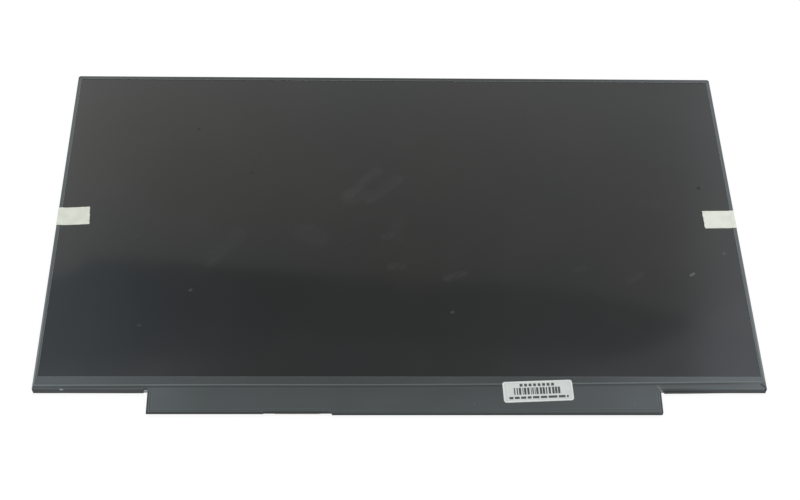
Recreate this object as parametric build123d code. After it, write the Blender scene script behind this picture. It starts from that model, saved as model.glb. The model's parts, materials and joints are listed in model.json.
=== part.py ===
from build123d import *
import os

# A slim laptop screen panel, lying on its back with the screen up.
# Sizes are in millimetres. +X runs to the right along the screen, +Y up the screen, +Z out of it.
# The origin is the middle of the whole outline, on the plane of the rear face.

# Outline of the body, and of the control board flap below it
body_width = 315.8
body_height = 185.7
flap_reach = 11.7
flap_width = 220.2
flap_shift = 1.5

# Borders between the edge of the body and the picture
side_border = 3.2
top_border = 3.7
bottom_border = 8.0

# Pressed steel bezel
bezel_sheet = 0.2
bezel_bend = 0.3
side_lip = 1.7
top_lip = 2.1
bottom_lip = 6.7
lip_gap = 0.05
skirt_gap = 0.05
bezel_corner_notch = 0.7
flap_relief = 1.8

# Pressed metal rear cover
rear_sheet = 0.3
rear_bend = 0.3
rear_wall_height = 1.5
rear_wall_gap = 0.1
rear_corner_notch = 1.2
rear_hole = 3.0
rear_hole_inset = 14.0

# Moulded frame and the hooks that the bezel snaps over
frame_gap = 0.05
frame_wall = 0.45
hook_length = 3.0
hook_height = 0.8
hook_foot = 1.1
hook_tip = 0.2
hook_shy = 0.05
hook_gap = 0.15
side_hook_pitch = 42.0
side_hooks = 4
top_hook_pitch = 60.0
top_hooks = 5

# Glass cell
array_glass_thick = 0.4
filter_glass_thick = 0.4
front_polarizer_thick = 0.2
rear_polarizer_thick = 0.12
glass_gap = 0.15
polarizer_tuck = 0.2
filter_tuck = 0.6
driver_ledge = 3.4
rim_tape_thick = 0.1
rim_tape_inset = 0.05
rim_tape_margin = 0.45
rear_polarizer_gap = 0.1

# Sheets of the back light
reflector_thick = 0.15
light_guide_thick = 0.7
diffuser_thick = 0.15
prism_thick = 0.15
sheet_gap = 0.03
sheet_overlap = 0.6
guide_overlap = 0.7
guide_gap = 0.2
mixing_zone = 2.6
sheet_setback = 0.5
ear_width = 5.0
ear_reach = 0.55
ear_gap = 0.15
ear_pitch = 96.0

# Light bar
flex_thick = 0.12
flex_width = 2.6
flex_tuck = 0.4
flex_gap = 0.1
led_count = 36
led_width = 3.0
led_depth = 0.85
led_height = 0.65
led_gap = 0.05
led_pocket = 1.0
led_end_margin = 4.0
tail_place = 54.0
tail_width = 7.0
tail_rise = 2.1
tail_bond = 2.5

# Driver films between the glass and the board
driver_films = 4
driver_end_margin = 12.1
driver_width = 34.0
driver_film_thick = 0.06
driver_bond = 1.6
driver_bend_start = 0.25
driver_bend_run = 1.7
driver_film_gap = 0.05
chip_length = 22.0
chip_width = 1.2
chip_height = 0.35
chip_setback = 0.45

# Control board
board_thick = 0.6
board_drop = 0.4
board_clear = 0.9
board_margin = 1.3
board_gap = 0.2
board_corner = 0.6
board_hole = 1.6
board_hole_inset = 5.0

# Cover film over the lower border and the board
film_thick = 0.1
film_end_inset = 0.5
film_edge_left = 2.5
film_edge_middle = 2.9
film_edge_right = 4.65
film_hem = 0.6
film_return = 2.0
film_bend = 0.15
film_corner = 1.0
film_slit = 0.4
slit_rise = 2.0
slit_lead = 1.2
slit_drop = 0.65
fold_clear = 0.6
front_step = 0.55
notch_depth = 0.25
notch_width = 29.0

# Display socket on the rear of the board, behind the notch of its lower edge
socket_place = -46.0
socket_width = 19.4
socket_depth = 4.0
socket_height = 1.0
socket_edge_gap = 0.1
socket_shell = 0.12
socket_mouth = 0.45
socket_mouth_depth = 2.4
contact_count = 30
contact_pitch = 0.5
contact_width = 0.2
contact_thick = 0.1
contact_foot = 0.7
shell_tab = 1.0

# Parts on the rear of the board. Places across are counted from the middle of the flap, for the parts round
# the lamp driver from its right end, and for the far left rows from its left end. Drops are below the board's
# upper edge.
chip_chamfer = 0.08
coil_chamfer = 0.2
timing_chip = dict(place=-10.5, drop=0.9, width=7.0, depth=7.0, height=0.85, edge=chip_chamfer)
memory_chip = dict(place=-21.5, drop=2.2, width=3.0, depth=4.0, height=0.7, edge=chip_chamfer)
power_chip = dict(place=25.5, drop=1.6, width=5.0, depth=5.0, height=0.75, edge=chip_chamfer)
lamp_chip = dict(place=-25.1, drop=1.9, width=4.0, depth=4.0, height=0.75, edge=chip_chamfer)
coil = dict(drop=1.8, width=4.0, depth=4.0, height=0.95, edge=coil_chamfer)
power_coil_place = 34.0
lamp_coil_place = -33.6
diode = dict(drop=2.4, width=1.6, depth=3.4, height=0.8, edge=chip_chamfer)
power_diode_place = 39.0
lamp_diode_place = -38.2
large_capacitor = dict(width=1.25, depth=2.0, height=0.85)
large_capacitor_pitch = 2.1
input_capacitor_place = 16.5
input_capacitor_drop = 2.6
output_capacitor_place = 42.5
output_capacitor_drop = 2.2
left_capacitor_place = 28.6
left_capacitor_drop = 2.0
lamp_capacitor_place = -19.0
lamp_capacitor_drop = 1.8
power_capacitors = (
    dict(first=input_capacitor_place, count=2, drop=input_capacitor_drop),
    dict(first=output_capacitor_place, count=4, drop=output_capacitor_drop),
)
left_capacitors = (dict(first=left_capacitor_place, count=5, drop=left_capacitor_drop),)
lamp_capacitors = (dict(first=lamp_capacitor_place, count=4, drop=lamp_capacitor_drop),)
small_capacitor = dict(width=0.5, depth=1.0, height=0.5)
small_capacitor_pitch = 1.0
upper_row_drop = 1.2
middle_row_drop = 3.0
lower_row_drop = 6.4
timing_left_place = -18.0
timing_right_place = -4.9
core_capacitor_place = 3.5
timing_capacitors = (
    dict(first=timing_left_place, count=4, drop=upper_row_drop),
    dict(first=timing_left_place, count=4, drop=lower_row_drop),
    dict(first=timing_right_place, count=4, drop=upper_row_drop),
    dict(first=timing_right_place, count=4, drop=lower_row_drop),
    dict(first=core_capacitor_place, count=9, drop=middle_row_drop),
)
resistor = dict(width=0.5, depth=1.0, height=0.35)
resistor_pitch = 1.1
signal_resistor_place = -31.5
socket_resistor_place = -56.5
power_resistor_place = 13.5
left_resistor_place = 36.6
lamp_resistor_place = -15.0
signal_resistors = (
    dict(first=signal_resistor_place, count=8, drop=upper_row_drop),
    dict(first=socket_resistor_place, count=10, drop=upper_row_drop),
    dict(first=power_resistor_place, count=6, drop=lower_row_drop),
)
left_resistors = (dict(first=left_resistor_place, count=6, drop=lower_row_drop),)
lamp_resistors = (dict(first=lamp_resistor_place, count=6, drop=lower_row_drop),)

# Paper sticker over the lower border, its middle counted from the right end of the flap
label_width = 30.2
label_height = 10.1
label_thick = 0.1
label_corner = 1.2
label_place = -53.1
label_rise = -0.55
label_tilt = 2.4

# Paper tape tabs folded over the two sides
tab_thick = 0.12
tab_height = 10.4
tab_hem = 0.45
tab_ramp = 0.8
left_tab_reach = 14.7
left_tab_rise = 95.6
left_tab_tilt = 3.8
right_tab_reach = 14.9
right_tab_rise = 94.9
right_tab_tilt = 1.0

# Levels, counted from the rear face up
z_guide = rear_sheet + reflector_thick
z_diffuser = z_guide + light_guide_thick
z_lower_prism = z_diffuser + diffuser_thick
z_upper_prism = z_lower_prism + prism_thick
z_sheets_top = z_upper_prism + prism_thick
z_array = z_sheets_top + sheet_gap + rear_polarizer_thick
z_shelf = z_array - rim_tape_thick
z_filter = z_array + array_glass_thick
z_front_polarizer = z_filter + filter_glass_thick
z_screen = z_front_polarizer + front_polarizer_thick
z_lip = z_screen + lip_gap
z_face = z_lip + bezel_sheet
z_skirt = rear_sheet + skirt_gap
z_board = z_filter - board_drop
z_under = z_board - board_thick

# Half widths across, from the outside in
x_body = body_width / 2
x_cover = x_body - bezel_sheet - rear_wall_gap
x_frame = x_cover - rear_sheet - frame_gap
x_pocket = x_frame - frame_wall
x_glass = x_pocket - glass_gap
x_window = x_body - side_lip
x_polarizer = x_window + polarizer_tuck
x_active = x_body - side_border
x_guide = x_active + guide_overlap
x_sheet = x_active + sheet_overlap

# Heights on the screen, from the bottom of the body and from its top
edge_to_cover = x_body - x_cover
edge_to_frame = x_body - x_frame
edge_to_glass = x_body - x_glass
y_bottom = (flap_reach - body_height) / 2
y_top = y_bottom + body_height
y_middle = (y_bottom + y_top) / 2
y_active_low = y_bottom + bottom_border
y_active_high = y_top - top_border
y_window_low = y_bottom + bottom_lip
y_window_high = y_top - top_lip
y_filter_low = y_window_low - filter_tuck
y_array_low = y_filter_low - driver_ledge
y_glass_high = y_top - edge_to_glass
y_guide_low = y_active_low - mixing_zone
y_guide_high = y_active_high + guide_overlap
y_sheet_low = y_guide_low + sheet_setback
y_sheet_high = y_active_high + sheet_overlap
y_rail_low = y_bottom + edge_to_frame
y_rail_wall = y_array_low - glass_gap
y_pocket_low = y_guide_low - led_pocket
y_flex_high = y_guide_low + flex_tuck
y_flex_low = y_flex_high - flex_width

# Flap: the cover film leaves the bezel where its fold begins, and slopes to the front of the board
bezel_fold = bezel_bend + bezel_sheet
y_fold = y_bottom + bezel_fold
x_flap_left = flap_shift - flap_width / 2
x_flap_right = flap_shift + flap_width / 2
socket_x = flap_shift + socket_place
tail_x = flap_shift + tail_place
label_x = x_flap_right + label_place
x_notch_left = socket_x - notch_width / 2
x_notch_right = socket_x + notch_width / 2
y_flap = y_bottom - flap_reach
y_board_high = y_bottom - board_clear
film_slope = (z_face - z_board) / (y_fold - y_flap - film_thick)
front_spans = (
    (x_flap_left, x_notch_left, y_flap + front_step),
    (x_notch_left, x_notch_right, y_flap + front_step + notch_depth),
    (x_notch_right, x_flap_right, y_flap),
)


def block(x0, x1, y0, y1, z0, z1):
    """A box between six limits."""
    middle = Pos((x0 + x1) / 2, (y0 + y1) / 2, (z0 + z1) / 2)
    return middle * Box(x1 - x0, y1 - y0, z1 - z0)


def across(face, x0, x1):
    """Run a section drawn as (y, z) along X."""
    return extrude(Plane.YZ.offset(x0) * face, amount=x1 - x0)


def section(points):
    """A closed flat section through the given points."""
    return make_face(Polyline(*points, close=True))


def rounded(face, corners):
    """Round the corners of a section that lie at the given points."""
    for point, radius in corners:
        near = face.vertices().sort_by_distance((point[0], point[1], 0))[0]
        face = fillet(near, radius)
    return face


def film_under(y):
    """Height of the lower side of the sloping cover film."""
    return z_face - (y_fold - y) * film_slope


def ribbon(start, bend_start, bend_end, end, thick):
    """Section of a thin strip that steps from one level to another in a smooth bend."""
    flat_in = Line(start, bend_start)
    bend = Spline(bend_start, bend_end, tangents=((-1, 0), (-1, 0)))
    flat_out = Line(bend_end, end)
    lower = Curve() + flat_in + bend + flat_out
    upper = Pos(0, thick) * lower
    first = Line(start, (start[0], start[1] + thick))
    last = Line(end, (end[0], end[1] + thick))
    return make_face([*lower.edges(), *upper.edges(), first, last])


def hook_places():
    """Where the frame's hooks meet the outer face of the body, with local +X pointing outwards."""
    places = []
    for step in range(side_hooks):
        y = y_middle + (step - (side_hooks - 1) / 2) * side_hook_pitch
        places.append(Location((x_body, y, 0), (0, 0, 0)))
        places.append(Location((-x_body, y, 0), (0, 0, 180)))
    for step in range(top_hooks):
        x = (step - (top_hooks - 1) / 2) * top_hook_pitch
        places.append(Location((x, y_top, 0), (0, 0, 90)))
    for x in ((x_flap_left - x_body) / 2, (x_flap_right + x_body) / 2):
        places.append(Location((x, y_bottom, 0), (0, 0, -90)))
    return places


def corners(x, y_low, y_high):
    """The four corners of a rectangle that is centred across."""
    return [(-x, y_low), (x, y_low), (-x, y_high), (x, y_high)]


def front_bezel():
    outer = block(-x_body, x_body, y_bottom, y_top, z_skirt, z_face)
    outer = fillet(outer.edges().group_by(Axis.Z)[-1], bezel_fold)
    x_in = x_body - bezel_sheet
    inner = block(-x_in, x_in, y_bottom + bezel_sheet, y_top - bezel_sheet, 0, z_lip)
    inner = fillet(inner.edges().group_by(Axis.Z)[-1], bezel_bend)
    window = block(-x_window, x_window, y_window_low, y_window_high, 0, 2 * z_face)
    x0 = x_flap_left - flap_relief
    x1 = x_flap_right + flap_relief
    relief = block(x0, x1, y_bottom - bezel_fold, y_fold, 0, 2 * z_face)
    bezel = outer - inner - window - relief
    for x, y in corners(x_body, y_bottom, y_top):
        reach = bezel_corner_notch
        bezel -= block(x - reach, x + reach, y - reach, y + reach, 0, 2 * z_face)
    half = hook_length / 2 + hook_gap
    low = hook_foot - hook_gap
    high = hook_foot + hook_height + hook_gap
    slot = block(-bezel_fold, bezel_fold, -half, half, low, high)
    return bezel - [place * slot for place in hook_places()]


def mould_frame():
    frame = block(-x_frame, x_frame, y_rail_low, y_top - edge_to_frame, rear_sheet, z_lip)
    y_pocket_high = y_glass_high + glass_gap
    frame -= block(-x_pocket, x_pocket, y_rail_wall, y_pocket_high, z_shelf, 2 * z_face)
    x_in = x_guide + guide_gap
    frame -= block(-x_in, x_in, y_pocket_low, y_guide_high + guide_gap, 0, 2 * z_face)
    # The lower rail is lowered where the driver films cross it
    x0 = x_flap_left - flap_relief
    x1 = x_flap_right + flap_relief
    z_rail = z_filter - driver_film_gap
    frame -= block(x0, x1, y_rail_low - frame_wall, y_rail_wall, z_rail, 2 * z_face)
    # Room for the light bar and its tail under the lower rail
    z_channel = rear_sheet + flex_thick + flex_gap
    frame -= block(-x_in, x_in, y_flex_low - flex_gap, y_pocket_low, 0, z_channel)
    tail = tail_width / 2 + flex_gap
    frame -= block(tail_x - tail, tail_x + tail, y_rail_low - flex_gap, y_flex_low, 0, z_channel)
    # Pockets for the ears of the light guide and the sheets
    for side in (-1, 1):
        for x0, x1, y0, y1 in ear_boxes(side, x_in, ear_gap, ear_gap):
            frame -= block(x0, x1, y0, y1, 0, z_shelf)
    wedge = section((
        (-edge_to_frame, hook_foot),
        (-hook_shy, hook_foot),
        (-hook_shy, hook_foot + hook_tip),
        (-edge_to_frame, hook_foot + hook_height),
    ))
    hook = Pos(0, hook_length / 2) * extrude(Plane.XZ * wedge, amount=hook_length)
    return frame + [place * hook for place in hook_places()]


def ear_boxes(side, x_from, reach_gap, width_gap):
    """Plan limits of the ears on one side, growing outwards from the given half width."""
    boxes = []
    for y in (y_middle - ear_pitch / 2, y_middle + ear_pitch / 2):
        x_to = x_guide + ear_reach + reach_gap
        half = ear_width / 2 + width_gap
        x0, x1 = sorted((side * x_from, side * x_to))
        boxes.append((x0, x1, y - half, y + half))
    return boxes


def eared_sheet(x, y_low, y_high, z, thick):
    """A sheet with two ears on each side that sit in the pockets of the frame."""
    sheet = block(-x, x, y_low, y_high, z, z + thick)
    for side in (-1, 1):
        for x0, x1, y0, y1 in ear_boxes(side, x - ear_reach, 0, 0):
            sheet += block(x0, x1, y0, y1, z, z + thick)
    return sheet


def rear_cover():
    y_low = y_bottom + edge_to_cover
    y_high = y_top - edge_to_cover
    outer = block(-x_cover, x_cover, y_low, y_high, 0, rear_wall_height)
    outer = fillet(outer.edges().group_by(Axis.Z)[0], rear_bend)
    x_in = x_cover - rear_sheet
    above = 2 * rear_wall_height
    tray = outer - block(-x_in, x_in, y_low + rear_sheet, y_high - rear_sheet, rear_sheet, above)
    x0 = x_flap_left - flap_relief
    x1 = x_flap_right + flap_relief
    tray -= block(x0, x1, y_low - rear_sheet, y_low + rear_sheet, rear_sheet, above)
    for x, y in corners(x_cover, y_low, y_high):
        reach = rear_corner_notch
        tray -= block(x - reach, x + reach, y - reach, y + reach, rear_sheet, above)
    half = hook_length / 2 + 2 * hook_gap
    foot = hook_foot - 2 * hook_gap
    slot = block(-edge_to_frame, -edge_to_cover + rear_wall_gap / 2, -half, half, foot, above)
    tray -= [place * slot for place in hook_places()]
    hole = Cylinder(rear_hole / 2, 4 * rear_sheet)
    inset = rear_hole_inset
    return tray - [Pos(x, y) * hole for x, y in corners(x_cover - inset, y_low + inset, y_high - inset)]


def rim_tape():
    x = x_glass - rim_tape_inset
    ring = block(-x, x, y_array_low + rim_tape_inset, y_glass_high - rim_tape_inset, z_shelf, z_array)
    margin = rim_tape_margin
    x_in = x_active + margin
    return ring - block(-x_in, x_in, y_active_low - margin, y_active_high + margin, 0, 2 * z_array)


def rear_polarizer():
    margin = rim_tape_margin - rear_polarizer_gap
    x = x_active + margin
    low = z_array - rear_polarizer_thick
    return block(-x, x, y_active_low - margin, y_active_high + margin, low, z_array)


def array_glass():
    return block(-x_glass, x_glass, y_array_low, y_glass_high, z_array, z_filter)


def filter_glass():
    return block(-x_glass, x_glass, y_filter_low, y_glass_high, z_filter, z_front_polarizer)


def front_polarizer():
    low = y_window_low - polarizer_tuck
    high = y_window_high + polarizer_tuck
    return block(-x_polarizer, x_polarizer, low, high, z_front_polarizer, z_screen)


def reflector():
    return block(-x_guide, x_guide, y_flex_high + flex_gap, y_guide_high, rear_sheet, z_guide)


def light_guide():
    return eared_sheet(x_guide, y_guide_low, y_guide_high, z_guide, light_guide_thick)


def diffuser():
    return eared_sheet(x_sheet, y_sheet_low, y_sheet_high, z_diffuser, diffuser_thick)


def lower_prism_sheet():
    return eared_sheet(x_sheet, y_sheet_low, y_sheet_high, z_lower_prism, prism_thick)


def upper_prism_sheet():
    return eared_sheet(x_sheet, y_sheet_low, y_sheet_high, z_upper_prism, prism_thick)


def light_bar_flex():
    strip = block(-x_guide, x_guide, y_flex_low, y_flex_high, rear_sheet, rear_sheet + flex_thick)
    # The tail runs out under the lower rail and climbs to the rear of the board
    y_out = y_bottom + edge_to_cover - rear_wall_gap
    high = z_under - flex_thick
    y_up = y_out - tail_rise
    root = (y_flex_low + flex_tuck, rear_sheet)
    tail = ribbon(root, (y_out, rear_sheet), (y_up, high), (y_up - tail_bond, high), flex_thick)
    half = tail_width / 2
    return strip + across(tail, tail_x - half, tail_x + half)


def light_bar_leds():
    low = rear_sheet + flex_thick
    front = y_guide_low - led_gap
    led = block(-led_width / 2, led_width / 2, front - led_depth, front, low, low + led_height)
    pitch = 2 * (x_guide - led_end_margin) / led_count
    spots = [(step - (led_count - 1) / 2) * pitch for step in range(led_count)]
    return Compound([Pos(x) * led for x in spots])


def driver_places():
    """Middle of each driver film, spread evenly along the flap."""
    first = x_flap_left + driver_end_margin + driver_width / 2
    last = x_flap_right - driver_end_margin - driver_width / 2
    pitch = (last - first) / (driver_films - 1)
    return [first + step * pitch for step in range(driver_films)]


def driver_film(x):
    y_bend = y_rail_low - driver_bend_start
    y_flat = y_bend - driver_bend_run
    tip = (y_array_low + driver_bond, z_filter)
    end = (y_flat - driver_bond, z_board)
    strip = ribbon(tip, (y_bend, z_filter), (y_flat, z_board), end, driver_film_thick)
    return across(strip, x - driver_width / 2, x + driver_width / 2)


def driver_chip(x):
    high = y_array_low - chip_setback
    low = z_filter + driver_film_thick
    half = chip_length / 2
    return block(x - half, x + half, high - chip_width, high, low, low + chip_height)


def board_front(y_front):
    """Front edge of the board behind a stretch of the cover film."""
    return y_front + film_thick + board_gap


def control_board():
    x0 = x_flap_left + board_margin
    x1 = x_flap_right - board_margin
    inset = film_thick + board_gap
    ends = [x0, x_notch_left - inset, x_notch_right + inset, x1]
    fronts = [board_front(span[2]) for span in front_spans]
    outline = [(x0, y_board_high)]
    for step, front in enumerate(fronts):
        outline += [(ends[step], front), (ends[step + 1], front)]
    outline.append((x1, y_board_high))
    face = rounded(section(outline), (
        ((x0, y_board_high), board_corner),
        ((x1, y_board_high), board_corner),
        ((x0, fronts[0]), board_corner),
        ((x1, fronts[-1]), film_corner),
    ))
    board = extrude(Pos(0, 0, z_under) * face, amount=board_thick)
    hole = Cylinder(board_hole / 2, 4 * board_thick)
    y = y_board_high - board_hole_inset
    return board - [Pos(x, y, z_board) * hole for x in (x0 + board_hole_inset, x1 - board_hole_inset)]


def under_board(place, drop, width, depth, height, edge=0.0, origin=flap_shift):
    """A part on the rear of the board, with the rim of its lower face eased."""
    x = origin + place
    y = y_board_high - drop
    body = block(x - width / 2, x + width / 2, y - depth, y, z_under - height, z_under)
    if edge:
        body = chamfer(body.edges().group_by(Axis.Z)[0], edge)
    return body


def rows(row_list, pitch, size, origin=flap_shift):
    """Small parts in rows, each row a count of parts at one pitch from its first place on."""
    parts = []
    for row in row_list:
        places = [row["first"] + step * pitch for step in range(row["count"])]
        parts += [under_board(place, row["drop"], **size, origin=origin) for place in places]
    return parts


def power_and_lamp(power_place, lamp_place, size):
    """One part beside the power chip and its twin beside the lamp driver."""
    return Compound([
        under_board(power_place, **size),
        under_board(lamp_place, **size, origin=x_flap_right),
    ])


def three_groups(middle, left, lamp, pitch, size):
    """Rows round the middle of the board and towards both of its ends."""
    parts = rows(middle, pitch, size)
    parts += rows(left, pitch, size, x_flap_left)
    parts += rows(lamp, pitch, size, x_flap_right)
    return Compound(parts)


def socket_limits():
    """Mouth and back of the display socket, in Y."""
    mouth = board_front(front_spans[1][2]) + socket_edge_gap
    return mouth, mouth + socket_depth


def contact_places():
    return [socket_x + (step - (contact_count - 1) / 2) * contact_pitch for step in range(contact_count)]


def socket_contacts():
    mouth, back = socket_limits()
    high = z_under
    low = z_under - socket_height / 2 + socket_mouth / 2
    blade_start = mouth + socket_shell + contact_foot
    neck = back + contact_thick
    profile = section((
        (blade_start, low),
        (neck, low),
        (neck, high - contact_thick),
        (neck + contact_foot, high - contact_thick),
        (neck + contact_foot, high),
        (back, high),
        (back, low + contact_thick),
        (blade_start, low + contact_thick),
    ))
    half = contact_width / 2
    return Compound([across(profile, x - half, x + half) for x in contact_places()])


def socket_body():
    mouth, back = socket_limits()
    half = socket_width / 2 - socket_shell
    low = z_under - socket_height + socket_shell
    body = block(socket_x - half, socket_x + half, mouth, back, low, z_under)
    half -= shell_tab
    middle = z_under - socket_height / 2
    slot = block(socket_x - half, socket_x + half, mouth - socket_shell, mouth + socket_mouth_depth,
                 middle - socket_mouth / 2, middle + socket_mouth / 2)
    return body - slot - [contact for contact in socket_contacts().solids()]


def socket_shell_cover():
    mouth, back = socket_limits()
    half = socket_width / 2
    low = z_under - socket_height
    inner = half - socket_shell
    shell = block(socket_x - half, socket_x + half, mouth, back, low, z_under)
    shell -= block(socket_x - inner, socket_x + inner, mouth - socket_shell, back + socket_shell,
                   low + socket_shell, 2 * z_face)
    # Two soldered feet on each side
    for side in (-1, 1):
        x0, x1 = sorted((socket_x + side * half, socket_x + side * (half + shell_tab)))
        for y in (mouth + shell_tab / 2, back - 3 * shell_tab / 2):
            shell += block(x0, x1, y, y + shell_tab, z_under - socket_shell, z_under)
    return shell


def film_span(x0, x1, y_front, returns):
    """The sloping film over the board, folded down in front of it and, where it returns, under it."""
    inner = y_front + film_thick
    bend = film_bend + film_thick
    points = [(y_fold, z_face), (inner, film_under(inner)), (inner, z_under)]
    turns = [(points[1], film_bend), ((y_front, film_under(y_front) + film_thick), bend)]
    if returns:
        hem = z_under - film_thick
        points += [(y_front + film_return, z_under), (y_front + film_return, hem), (y_front, hem)]
        turns += [(points[2], film_bend), ((y_front, hem), bend)]
    else:
        points.append((y_front, z_under))
    points += [(y_front, film_under(y_front) + film_thick), (y_fold, z_face + film_thick)]
    return across(rounded(section(points), turns), x0, x1)


def film_jog(x0, x1, y_short, y_long):
    """The film's front between two stretches that stand out by different amounts."""
    inner = y_short + film_thick
    outer = y_long + film_thick
    hem = z_under
    wall = ((inner, hem), (inner, film_under(inner)), (outer, film_under(outer)), (outer, hem))
    return across(section(wall), x0, x1)


def cover_film():
    x_end = x_body - film_end_inset
    edge = Spline(
        (-x_end, y_bottom + film_edge_left),
        (0, y_bottom + film_edge_middle),
        (x_end, y_bottom + film_edge_right),
    )
    rim = Polyline(edge @ 1, (x_end, y_fold), (-x_end, y_fold), edge @ 0)
    film = extrude(Pos(0, 0, z_face) * make_face([edge, *rim.edges()]), amount=film_thick)
    # Folded over the lower edge of the bezel on both sides of the flap
    outer = y_bottom - film_thick
    lap = y_fold + film_thick
    fold = section((
        (lap, z_face),
        (y_bottom, z_face),
        (y_bottom, film_hem),
        (outer, film_hem),
        (outer, z_face + film_thick),
        (lap, z_face + film_thick),
    ))
    fold = rounded(fold, (
        ((y_bottom, z_face), bezel_fold),
        ((outer, z_face + film_thick), bezel_fold + film_thick),
    ))
    film += across(fold, -x_end, x_flap_left - flap_relief)
    film += across(fold, x_flap_right + fold_clear, x_end)
    # Over the board, shorter at the socket and to the left of it
    for index, (x0, x1, y_front) in enumerate(front_spans):
        film += film_span(x0, x1, y_front, returns=index != 1)
    y_left, y_notch, y_right = (span[2] for span in front_spans)
    film += film_jog(x_notch_left - film_thick, x_notch_left, y_notch, y_left)
    film += film_jog(x_notch_right, x_notch_right + film_thick, y_notch, y_right)
    # The lower right corner is rounded
    reach = film_corner
    x_round = x_flap_right - reach
    y_round = y_flap + reach
    corner = block(x_round, x_flap_right + reach, y_flap - reach, y_round, 0, 2 * z_face)
    film -= corner - Pos(x_round, y_round, z_face) * Cylinder(reach, 4 * z_face)
    # A slanting slit lets the right hand fold part from the flap
    tip = Vector(x_flap_right - slit_lead, y_bottom + slit_rise)
    root = Vector(x_flap_right + fold_clear, y_bottom - slit_drop)
    middle = (tip + root) / 2
    along = root - tip
    angle = along.get_signed_angle(Vector(1, 0, 0)) * -1
    slit = Location((middle.X, middle.Y, z_face), (0, 0, angle)) * Box(along.length, film_slit, 2 * z_face)
    return film - slit


def sticker_label():
    low = y_bottom + label_rise - label_width
    high = y_bottom + label_rise + label_width
    top = z_face + film_thick
    sheet = section((
        (high, top),
        (y_fold, top),
        (low, film_under(low) + film_thick),
        (low, film_under(low) + film_thick + label_thick),
        (y_fold, top + label_thick),
        (high, top + label_thick),
    ))
    sheet = across(sheet, label_x - label_width, label_x + label_width)
    plan = extrude(RectangleRounded(label_width, label_height, label_corner), amount=4 * z_face)
    return sheet & Location((label_x, y_bottom + label_rise, 0), (0, 0, label_tilt)) * plan


def tape_tab(side, reach, rise, tilt):
    """A strip of paper tape stuck to the screen, over the bezel and down the side."""
    outer = x_body + tab_thick
    ramp = x_window - tab_ramp
    end = x_body - 2 * reach
    fold = section((
        (x_body, tab_hem),
        (x_body, z_face),
        (x_window, z_face),
        (ramp, z_screen),
        (end, z_screen),
        (end, z_screen + tab_thick),
        (ramp, z_screen + tab_thick),
        (x_window, z_face + tab_thick),
        (outer, z_face + tab_thick),
        (outer, tab_hem),
    ))
    fold = rounded(fold, (
        ((x_body, z_face), bezel_fold),
        ((outer, z_face + tab_thick), bezel_fold + tab_thick),
    ))
    y = y_bottom + rise
    strip = extrude(Plane.XZ.offset(-y - tab_height) * fold, amount=2 * tab_height)
    plan = block(x_body - reach, x_body + reach, -tab_height / 2, tab_height / 2, 0, 2 * z_face)
    plan = Location((x_body, y, 0), (0, 0, tilt)) * Pos(-x_body) * plan
    tab = strip & plan
    return tab if side > 0 else mirror(tab, about=Plane.YZ)


pieces = {
    "front_bezel": front_bezel(),
    "mould_frame": mould_frame(),
    "rear_cover": rear_cover(),
    "front_polarizer": front_polarizer(),
    "filter_glass": filter_glass(),
    "array_glass": array_glass(),
    "rear_polarizer": rear_polarizer(),
    "rim_tape": rim_tape(),
    "upper_prism_sheet": upper_prism_sheet(),
    "lower_prism_sheet": lower_prism_sheet(),
    "diffuser_sheet": diffuser(),
    "light_guide": light_guide(),
    "reflector_sheet": reflector(),
    "light_bar_flex": light_bar_flex(),
    "light_bar_leds": light_bar_leds(),
    "control_board": control_board(),
    "timing_controller": under_board(**timing_chip),
    "memory_chip": under_board(**memory_chip),
    "power_chip": under_board(**power_chip),
    "lamp_driver_chip": under_board(**lamp_chip, origin=x_flap_right),
    "boost_coils": power_and_lamp(power_coil_place, lamp_coil_place, coil),
    "rectifier_diodes": power_and_lamp(power_diode_place, lamp_diode_place, diode),
    "large_capacitors": three_groups(
        power_capacitors, left_capacitors, lamp_capacitors, large_capacitor_pitch, large_capacitor
    ),
    "small_capacitors": Compound(rows(timing_capacitors, small_capacitor_pitch, small_capacitor)),
    "chip_resistors": three_groups(
        signal_resistors, left_resistors, lamp_resistors, resistor_pitch, resistor
    ),
    "display_socket_body": socket_body(),
    "display_socket_shell": socket_shell_cover(),
    "display_socket_contacts": socket_contacts(),
    "board_cover_film": cover_film(),
    "sticker_label": sticker_label(),
    "left_tape_tab": tape_tab(-1, left_tab_reach, left_tab_rise, -left_tab_tilt),
    "right_tape_tab": tape_tab(1, right_tab_reach, right_tab_rise, right_tab_tilt),
}
for number, place in enumerate(driver_places(), start=1):
    pieces[f"driver_film_{number}"] = driver_film(place)
    pieces[f"driver_chip_{number}"] = driver_chip(place)

os.makedirs("parts", exist_ok=True)
for name, piece in pieces.items():
    export_step(piece, f"parts/{name}.step")
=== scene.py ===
import json
import math
import random

import bmesh
import bpy
from mathutils import Matrix, Vector, noise


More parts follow.
